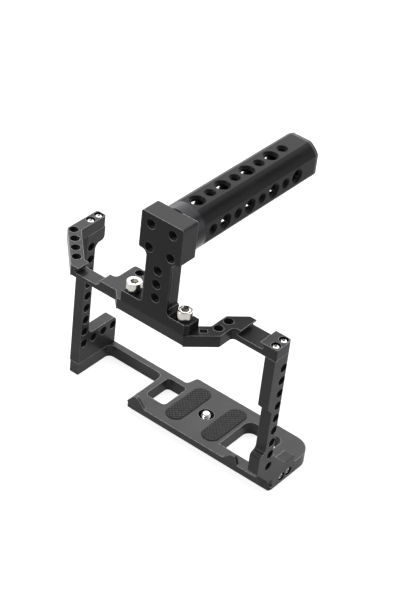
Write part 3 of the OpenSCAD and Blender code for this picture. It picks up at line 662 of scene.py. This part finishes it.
def thread(bm, place, root, crest, pitch, length, steps=SHANK_STEPS, fade=0.75):
    """A helical ridge in mm from its root radius to its crest, fading out over some turns at both ends."""
    turns = length / pitch
    # the ridge covers nearly the whole pitch at its root and a sixth of it at its crest
    root_half = 0.46 * pitch
    crest_half = 0.08 * pitch
    rows = []
    for i in range(int(turns * steps) + 1):
        turn = i / steps
        angle = 2 * math.pi * turn
        rise = min(1.0, turn / fade, (turns - turn) / fade)
        top = root + (crest - root) * max(0.02, rise)
        row = []
        for radius, dz in ((root, -root_half), (top, -crest_half), (top, crest_half), (root, root_half)):
            z = min(max(turn * pitch + dz, 0.0), length)
            spot = Vector((radius * math.cos(angle), radius * math.sin(angle), z)) * MM
            row.append(bm.verts.new(place @ spot))
        rows.append(row)
    for a, b in zip(rows, rows[1:]):
        for k in range(3):
            bm.faces.new((a[k], b[k], b[k + 1], a[k + 1]))


def hole_thread(bm, place, radius, length, fade):
    """A tapped hole's thread in mm, from just inside the hole's wall inwards."""
    root = radius + HOLE_THREAD_SINK
    crest = radius - HOLE_THREAD_DEPTH
    thread(bm, place, root, crest, HOLE_THREAD_PITCH, length, HOLE_STEPS, fade)


def socket_head(bm, place, radius, height, key):
    """A socket cap head in mm: rounded rim and a hexagon socket with its lead-in, seated at z = 0."""
    floor = height * 0.45
    mouth = key / math.sqrt(3) + 0.35

    def hexagon(angle):
        """Distance from the axis to the socket's wall."""
        return key / 2 / math.cos((angle + math.pi / 6) % (math.pi / 3) - math.pi / 6)

    profile = [(0, 0), (radius - 0.2, 0), (radius, 0.2), (radius, height - 0.7),
        (radius - 0.12, height - 0.35), (radius - 0.35, height - 0.1), (radius - 0.7, height),
        (mouth, height), (hexagon, height - 0.25), (hexagon, floor), (0, floor - 0.6)]
    lathe(bm, profile, HEAD_STEPS, place)


def threaded_shank(bm, place, radius, length, pitch):
    """A screw's shank in mm below its seat, threaded to its bevelled tip."""
    core = radius - 0.6 * pitch
    tip = place @ Matrix.Translation((0, 0, -length * MM))
    lathe(bm, [(0, 0), (core - 0.4, 0), (core, 0.4), (core, length)], SHANK_STEPS, tip)
    thread(bm, tip, core, radius, pitch, length - 0.1)


def cross_recess(head, place, width, depth):
    """Sinks a cross recess into a head's top by a boolean with two tapered wings."""
    # height, half length and half width of a wing's two ends, above the head and at the recess's floor
    ends = ((0.4, width / 2 + 0.15, 0.42), (-depth, width / 5, 0.3))
    bm = bmesh.new()
    for turn in (0, math.pi / 2):
        spin = place @ Matrix.Rotation(turn, 4, "Z")
        wing = []
        for z, long, wide in ends:
            for x, y in ((-long, -wide), (long, -wide), (long, wide), (-long, wide)):
                wing.append(bm.verts.new(spin @ (Vector((x, y, z)) * MM)))
        for quad in ((3, 2, 1, 0), (4, 5, 6, 7), (0, 1, 5, 4), (1, 2, 6, 5), (2, 3, 7, 6), (3, 0, 4, 7)):
            bm.faces.new([wing[k] for k in quad])
    bmesh.ops.recalc_face_normals(bm, faces=bm.faces)
    mesh = bpy.data.meshes.new("recess tool")
    bm.to_mesh(mesh)
    bm.free()
    tool = bpy.data.objects.new("recess_tool", mesh)
    bpy.context.scene.collection.objects.link(tool)
    cut = head.modifiers.new("cross recess", "BOOLEAN")
    cut.operation = "DIFFERENCE"
    cut.solver = "EXACT"
    cut.use_self = True
    cut.object = tool
    view = bpy.context.view_layer
    view.update()
    baked = bpy.data.meshes.new_from_object(head.evaluated_get(view.depsgraph))
    head.modifiers.remove(cut)
    plain = head.data
    head.data = baked
    bpy.data.meshes.remove(plain)
    bpy.data.objects.remove(tool)


def knurled_pad(bm, low, high, pitch, depth):
    """A rubber strip with round ends between two corners in mm, its top cut into diamonds."""
    middle = midway(low, high)
    half_width = (high[0] - low[0]) / 2
    half_length = (high[1] - low[1]) / 2
    straight = half_length - half_width
    period = pitch * math.sqrt(2)
    step = period / KNURL_STEPS
    columns = int(2 * half_width / step) + 1
    rows = int(2 * half_length / step) + 1
    grid = {}
    for i in range(columns + 1):
        for j in range(rows + 1):
            x = -half_width + 2 * half_width * i / columns
            y = -half_length + 2 * half_length * j / rows
            run = max(abs(y) - straight, 0.0)
            reach = math.hypot(x, run)
            inside = half_width - reach
            # points just past the rim are drawn in to it, and those farther out are left out
            if inside < -1.5 * step:
                continue
            if inside < 0:
                x *= half_width / reach
                if run > 0:
                    y = math.copysign(straight + run / reach * half_width, y)
            slants = ((x + y) / period, (x - y) / period)
            from_peak = max(abs(slant - math.floor(slant) - 0.5) * 2 for slant in slants)
            diamond = min((1 - from_peak) * KNURL_FULLNESS, 1.0)
            full = min(1.0, max(0.0, inside) / KNURL_FADE)
            z = high[2] - depth + depth * diamond * full - RIM_DROP * (1 - full)
            grid[i, j] = bm.verts.new(Vector((middle[0] + x, middle[1] + y, z)) * MM)
    for i in range(columns):
        for j in range(rows):
            quad = [grid.get(k) for k in ((i, j), (i + 1, j), (i + 1, j + 1), (i, j + 1))]
            if all(quad):
                bm.faces.new(quad)
    bmesh.ops.remove_doubles(bm, verts=bm.verts, dist=0.001 * MM)
    rim = [edge for edge in bm.edges if len(edge.link_faces) == 1]
    wall = bmesh.ops.extrude_edge_only(bm, edges=rim)
    for vert in wall["geom"]:
        if isinstance(vert, bmesh.types.BMVert):
            vert.co.z = low[2] * MM


# Places of screws and holes, in mm
def screw_pair(node, facing, first):
    """Seats of a node's two small screws, which stand in a row along Y."""
    low, high = corners(node)
    seat = midway(low, high)
    for k, way in enumerate(facing):
        if way > 0:
            seat[k] = high[k] - PAN_HEIGHT
        if way < 0:
            seat[k] = low[k] + PAN_HEIGHT
    front_seat = (seat[0], low[1] + PAN_RADIUS, seat[2])
    back_seat = (seat[0], high[1] - PAN_RADIUS, seat[2])
    return (front_seat, back_seat) if first == "front" else (back_seat, front_seat)


def hole_row(name, along, spacing):
    """Middles of the holes from one end of a mount's row to the other, along axis 0, 1 or 2."""
    middle, dims = mount(name)
    span = dims.get("spacing_y_mm") or dims["spacing_x_mm"]
    row = []
    for k in range(round(span / spacing) + 1):
        place = list(middle)
        place[along] += k * spacing - span / 2
        row.append(place)
    return row


def through(places, axis, face, depth):
    """Starts, directions and lengths of the threads through a part, just inside both of its faces."""
    threads = []
    for place in places:
        start = list(place)
        start[axis] = face + HOLE_LEAD
        threads.append((start, AXES[axis], depth - 2 * HOLE_LEAD))
    return threads


def side_holes(spacing):
    """Threads through the two side frames' columns and the left one's lower arm."""
    low, high = corners("left_upright")
    left = hole_row("left_side_holes_ends", 2, spacing) + hole_row("left_foot_holes", 1, spacing)
    threads = through(left, 0, low[0], high[0] - low[0])
    low, high = corners("right_upright")
    return threads + through(hole_row("right_side_holes_ends", 2, spacing), 0, low[0], high[0] - low[0])


def rail_holes(spacing):
    """Threads through the rail's slanted arm, its rear edge and its bend on the right."""
    low, high = corners("top_rail")
    x, y = ARM_FIRST_HOLE
    slant = spacing / math.sqrt(2)
    places = [[x + k * slant, y - k * slant, 0] for k in range(ARM_HOLES)]
    places.append([*REAR_HOLE, 0])
    places += hole_row("rail_bend_holes", 1, spacing)
    return through(places, 2, low[2], high[2] - low[2])


def bracket_holes(spacing):
    """Threads through the bracket's column and through the corners of its head."""
    low, high = corners("handle_bracket")
    threads = through(hole_row("column_holes", 2, spacing), 1, low[1], COLUMN_DEPTH)
    (x, y, z), dims = mount("head_holes")
    half_x = dims["spacing_x_mm"] / 2
    half_z = dims["spacing_y_mm"] / 2
    places = [[x + i * half_x, y, z + j * half_z] for i in (-1, 1) for j in (-1, 1)]
    return threads + through(places, 1, low[1], high[1] - low[1])


def tube_threads(bm):
    """Threads of the large and small holes that take turns along the tube's four flats."""
    low, high = corners("handle_tube")
    axis_x, _, axis_z = midway(low, high)
    middle, outer = mount("tube_top_large_holes_outer")
    large = outer["hole_r_mm"]
    small = mount("tube_top_small_holes_outer")[1]["hole_r_mm"]
    step = mount("tube_top_large_holes_inner")[1]["spacing_y_mm"] / 2
    start = (high[2] - low[2]) / 2 - FLAT_CUT - FLAT_WALL + FLAT_LEAD
    length = FLAT_WALL - COUNTERSINK - FLAT_LEAD
    for k in range(TUBE_STATIONS):
        y = middle[1] - outer["spacing_y_mm"] / 2 + k * step
        for side, (x, z) in enumerate(((0, 1), (1, 0), (0, -1), (-1, 0))):
            radius = large if k % 2 == side % 2 else small
            place = aim((axis_x + x * start, y, axis_z + z * start), (x, 0, z))
            hole_thread(bm, place, radius, length, FLAT_FADE)


# Pieces
class CAGE_OT_frame_parts(bpy.types.Operator):
    """Gives the plate, side frames, rail and bracket their anodised finish"""
    bl_idname = "cage.frame_parts"
    bl_label = "Frame parts"

    def execute(self, context):
        for node in FRAME_PARTS:
            dress_solid(node)
        # painted light on the plate and painted shade on the bracket, by their tones
        for node, tone in PAINTED_PART_TONES.items():
            dress_solid(node, blasted_anodised_aluminium(tone))
        return {"FINISHED"}


class CAGE_OT_handle(bpy.types.Operator):
    """Gives the handle tube, its bolt and its end plug their finishes"""
    bl_idname = "cage.handle"
    bl_label = "Handle"

    def execute(self, context):
        for node in ("handle_tube", "handle_bolt", "handle_end_plug"):
            dress_solid(node)
        return {"FINISHED"}


class CAGE_OT_grip_pads(bpy.types.Operator):
    """Builds the two rubber pads with their diamond knurl"""
    bl_idname = "cage.grip_pads"
    bl_label = "Grip pads"

    def execute(self, context):
        sizes = context.scene.cage_sizes
        for node in PADS:
            bm = bmesh.new()
            knurled_pad(bm, *corners(node), sizes.knurl / MM, sizes.knurl_depth / MM)
            piece(node + "_rubber", bm, "pad_rubber", "cage", node, smooth=False)
        return {"FINISHED"}


class CAGE_OT_camera_screw(bpy.types.Operator):
    """Builds the threaded camera screw and dresses its washer, pull ring and retaining ring"""
    bl_idname = "cage.camera_screw"
    bl_label = "Camera screw"

    def execute(self, context):
        for node in ("screw_washer", "screw_ring", "screw_circlip"):
            dress_solid(node)
        low, high = corners("camera_screw")
        head = high[0]
        tip = high[2]
        core = QUARTER_INCH_CORE
        bm = bmesh.new()
        # flat head with bevelled edges
        rim = head - CAMERA_HEAD_BEVEL
        lathe(bm, [(0, CAMERA_HEAD_TOP), (rim, CAMERA_HEAD_TOP),
            (head, CAMERA_HEAD_TOP - CAMERA_HEAD_BEVEL), (head, CAMERA_HEAD_BOTTOM + CAMERA_HEAD_BEVEL),
            (rim, CAMERA_HEAD_BOTTOM), (0, CAMERA_HEAD_BOTTOM)], HEAD_STEPS, Matrix.Identity(4))
        # plain neck, then the thread's core to its bevelled tip
        lathe(bm, [(CAMERA_NECK, CAMERA_HEAD_TOP), (CAMERA_NECK, CAMERA_THREAD_START - CAMERA_NECK_STEP),
            (core, CAMERA_THREAD_START), (core, tip - CAMERA_TIP_HEIGHT),
            (core - CAMERA_TIP_BEVEL, tip), (0, tip)], ROUND_STEPS, Matrix.Identity(4))
        crest = mount("camera_screw")[1]["r_mm"]
        length = tip - CAMERA_THREAD_STOP - CAMERA_THREAD_START
        start = aim((0, 0, CAMERA_THREAD_START), UP)
        thread(bm, start, core, crest, QUARTER_INCH_PITCH, length, ROUND_STEPS)
        # lug below the head that carries the pull ring
        wide, deep = LUG_HALF
        block(bm, (-wide, -deep, low[2]), (wide, deep, CAMERA_HEAD_BOTTOM + LUG_OVERLAP))
        piece("camera_screw_threaded", bm, "screw_steel", "screw", "camera_screw")
        return {"FINISHED"}


class CAGE_OT_clamp_screws(bpy.types.Operator):
    """Builds the two socket cap screws that clamp the bracket to the rail"""
    bl_idname = "cage.clamp_screws"
    bl_label = "Clamp screws"

    def execute(self, context):
        for node, body in (("left_clamp_screw", "left_clamp"), ("right_clamp_screw", "right_clamp")):
            low, high = corners(node)
            x, y, _ = midway(low, high)
            seat = high[2] - M6_HEAD
            place = aim((x, y, seat), UP)
            bm = bmesh.new()
            socket_head(bm, place, (high[0] - low[0]) / 2, M6_HEAD, M6_KEY)
            threaded_shank(bm, place, M6_RADIUS, seat - low[2], M6_PITCH)
            piece(node + "_threaded", bm, "screw_steel", body, node)
        return {"FINISHED"}


class CAGE_OT_small_screws(bpy.types.Operator):
    """Builds the cross recess screws of both side frames, top and foot"""
    bl_idname = "cage.small_screws"
    bl_label = "Small screws"

    def execute(self, context):
        for node, facing, first in SMALL_SCREWS:
            for k, seat in enumerate(screw_pair(node, facing, first)):
                place = aim(seat, facing)
                bm = bmesh.new()
                lathe(bm, PAN_HEAD, ROUND_STEPS, place)
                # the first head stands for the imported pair
                stands_for = node if k == 0 else None
                head = piece(f"{node}_head_{k + 1}", bm, "screw_steel", "cage", stands_for)
                top = place @ Matrix.Translation((0, 0, PAN_HEIGHT * MM))
                cross_recess(head, top, CROSS_WIDTH, CROSS_DEPTH)
                bm = bmesh.new()
                threaded_shank(bm, place, M3_RADIUS, M3_LENGTH, M3_PITCH)
                piece(f"{node}_shank_{k + 1}", bm, "screw_steel", "cage")
        return {"FINISHED"}


class CAGE_OT_arm_end_web(bpy.types.Operator):
    """Closes the thin wall between the rear left screw's counterbore and the left arm's end"""
    bl_idname = "cage.arm_end_web"
    bl_label = "Arm end web"

    def execute(self, context):
        _, rail = corners("top_rail")
        back_seat, _ = screw_pair("left_top_screws", UP, "back")
        x, _, seat = back_seat
        back = rail[1] - WEB_SKIN
        bm = bmesh.new()
        block(bm, (x - WEB_HALF, back - WEB_THICK, seat), (x + WEB_HALF, back, rail[2] - WEB_SKIN))
        piece("left_arm_end_web", bm, "frame_metal", "cage", smooth=False)
        return {"FINISHED"}


class CAGE_OT_hole_threads(bpy.types.Operator):
    """Winds the threads inside the accessory holes of the frame, bracket and handle"""
    bl_idname = "cage.hole_threads"
    bl_label = "Hole threads"

    def execute(self, context):
        sizes = context.scene.cage_sizes
        spacing = sizes.hole_spacing / MM
        radius = sizes.hole_radius / MM
        bm = bmesh.new()
        tube_threads(bm)
        piece("tube_hole_threads", bm, "handle_metal", "cage", finish="thread")
        rows = {"side": side_holes(spacing), "rail": rail_holes(spacing), "bracket": bracket_holes(spacing)}
        for name, holes in rows.items():
            bm = bmesh.new()
            for start, axis, length in holes:
                hole_thread(bm, aim(start, axis), radius, length, THROUGH_FADE)
            piece(name + "_hole_threads", bm, "frame_metal", "cage", finish="thread")
        return {"FINISHED"}


class CAGE_OT_studio(bpy.types.Operator):
    """Sets the floor, the soft lights, the surroundings and the camera"""
    bl_idname = "cage.studio"
    bl_label = "Studio"

    def execute(self, context):
        self.floor(context.scene)
        self.lights(context.scene)
        self.surroundings(context.scene)
        self.camera(context.scene)
        context.scene.view_settings.view_transform = "Standard"
        return {"FINISHED"}

    def floor(self, scene):
        """A matt floor that takes the shadow, and that pale rays see nearly white."""
        bm = bmesh.new()
        bmesh.ops.create_grid(bm, x_segments=8, y_segments=8, size=FLOOR_SIZE)
        mesh = bpy.data.meshes.new("floor")
        bm.to_mesh(mesh)
        bm.free()
        floor = bpy.data.objects.new("floor", mesh)
        floor.location = (0, 0, SOLID_BOX[0][2] - FLOOR_GAP)
        scene.collection.objects.link(floor)
        mat = bpy.data.materials.new("pale floor")
        mat.use_nodes = True
        tree = mat.node_tree
        tree.nodes.clear()
        matt = add_node(tree, "ShaderNodeBsdfDiffuse", {"Color": scene.cage_studio.backdrop})
        faint = add_node(tree, "ShaderNodeBsdfDiffuse", {"Color": grey(FLOOR_FAINT)})
        glow = add_node(tree, "ShaderNodeEmission", {"Color": grey(1), "Strength": FLOOR_GLOW})
        both = add_node(tree, "ShaderNodeAddShader", None, {0: faint.outputs[0], 1: glow.outputs[0]})
        mix = add_node(tree, "ShaderNodeMixShader", None,
            {"Fac": pale_rays(tree), 1: matt.outputs[0], 2: both.outputs[0]})
        add_node(tree, "ShaderNodeOutputMaterial", None, {"Surface": mix.outputs[0]})
        mesh.materials.append(mat)

    def lights(self, scene):
        """Rectangular soft lights, all aimed at the cage."""
        for name, (place, size) in LIGHTS.items():
            data = bpy.data.lights.new(name, "AREA")
            data.shape = "RECTANGLE"
            data.size, data.size_y = size
            data.energy = getattr(scene.cage_studio, name)
            lamp = bpy.data.objects.new(name, data)
            lamp.location = place
            lamp.rotation_euler = (Vector(LIGHT_AIM) - Vector(place)).to_track_quat("-Z", "Y").to_euler()
            scene.collection.objects.link(lamp)

    def surroundings(self, scene):
        """A plain dim light from all round, which pale rays see white."""
        world = bpy.data.worlds.new("surroundings")
        scene.world = world
        world.use_nodes = True
        tree = world.node_tree
        tree.nodes.clear()
        plain = add_node(tree, "ShaderNodeBackground",
            {"Color": grey(1), "Strength": scene.cage_studio.surroundings})
        white = add_node(tree, "ShaderNodeBackground", {"Color": grey(1), "Strength": 1.0})
        mix = add_node(tree, "ShaderNodeMixShader", None,
            {"Fac": pale_rays(tree), 1: plain.outputs[0], 2: white.outputs[0]})
        add_node(tree, "ShaderNodeOutputWorld", None, {"Surface": mix.outputs[0]})

    def camera(self, scene):
        """A long lens above the cage's right front corner."""
        data = bpy.data.cameras.new("camera")
        data.lens = CAMERA_LENS
        data.sensor_width = CAMERA_SENSOR
        data.sensor_height = CAMERA_SENSOR
        data.sensor_fit = "AUTO"
        data.clip_start, data.clip_end = CAMERA_RANGE
        camera = bpy.data.objects.new("camera", data)
        camera.location = CAMERA_PLACE
        camera.rotation_euler = [math.radians(angle) for angle in CAMERA_TURN]
        scene.collection.objects.link(camera)
        scene.camera = camera


class CAGE_PT_panel(bpy.types.Panel):
    """Lists the cage's values and the steps that build its pieces"""
    bl_idname = "CAGE_PT_panel"
    bl_label = "Camera cage"
    bl_space_type = "VIEW_3D"
    bl_region_type = "UI"
    bl_category = "Cage"

    def draw(self, context):
        for name, group in GROUPS:
            box = self.layout.box()
            for key in group.__annotations__:
                box.prop(getattr(context.scene, name), key)
        for step in STEPS:
            self.layout.operator(step.bl_idname)


GROUPS = (("cage_finish", CageFinish), ("cage_sizes", CageSizes), ("cage_studio", CageStudio))
STEPS = (CAGE_OT_frame_parts, CAGE_OT_handle, CAGE_OT_grip_pads, CAGE_OT_camera_screw, CAGE_OT_clamp_screws,
    CAGE_OT_small_screws, CAGE_OT_arm_end_web, CAGE_OT_hole_threads, CAGE_OT_studio)


def register():
    for name, group in GROUPS:
        bpy.utils.register_class(group)
        setattr(bpy.types.Scene, name, bpy.props.PointerProperty(type=group))
    for step in STEPS:
        bpy.utils.register_class(step)
    bpy.utils.register_class(CAGE_PT_panel)


def unregister():
    bpy.utils.unregister_class(CAGE_PT_panel)
    for step in reversed(STEPS):
        bpy.utils.unregister_class(step)
    for name, group in reversed(GROUPS):
        delattr(bpy.types.Scene, name)
        bpy.utils.unregister_class(group)


def main():
    register()
    for step in STEPS:
        area, name = step.bl_idname.split(".")
        getattr(getattr(bpy.ops, area), name)()


if __name__ == "__main__":
    main()
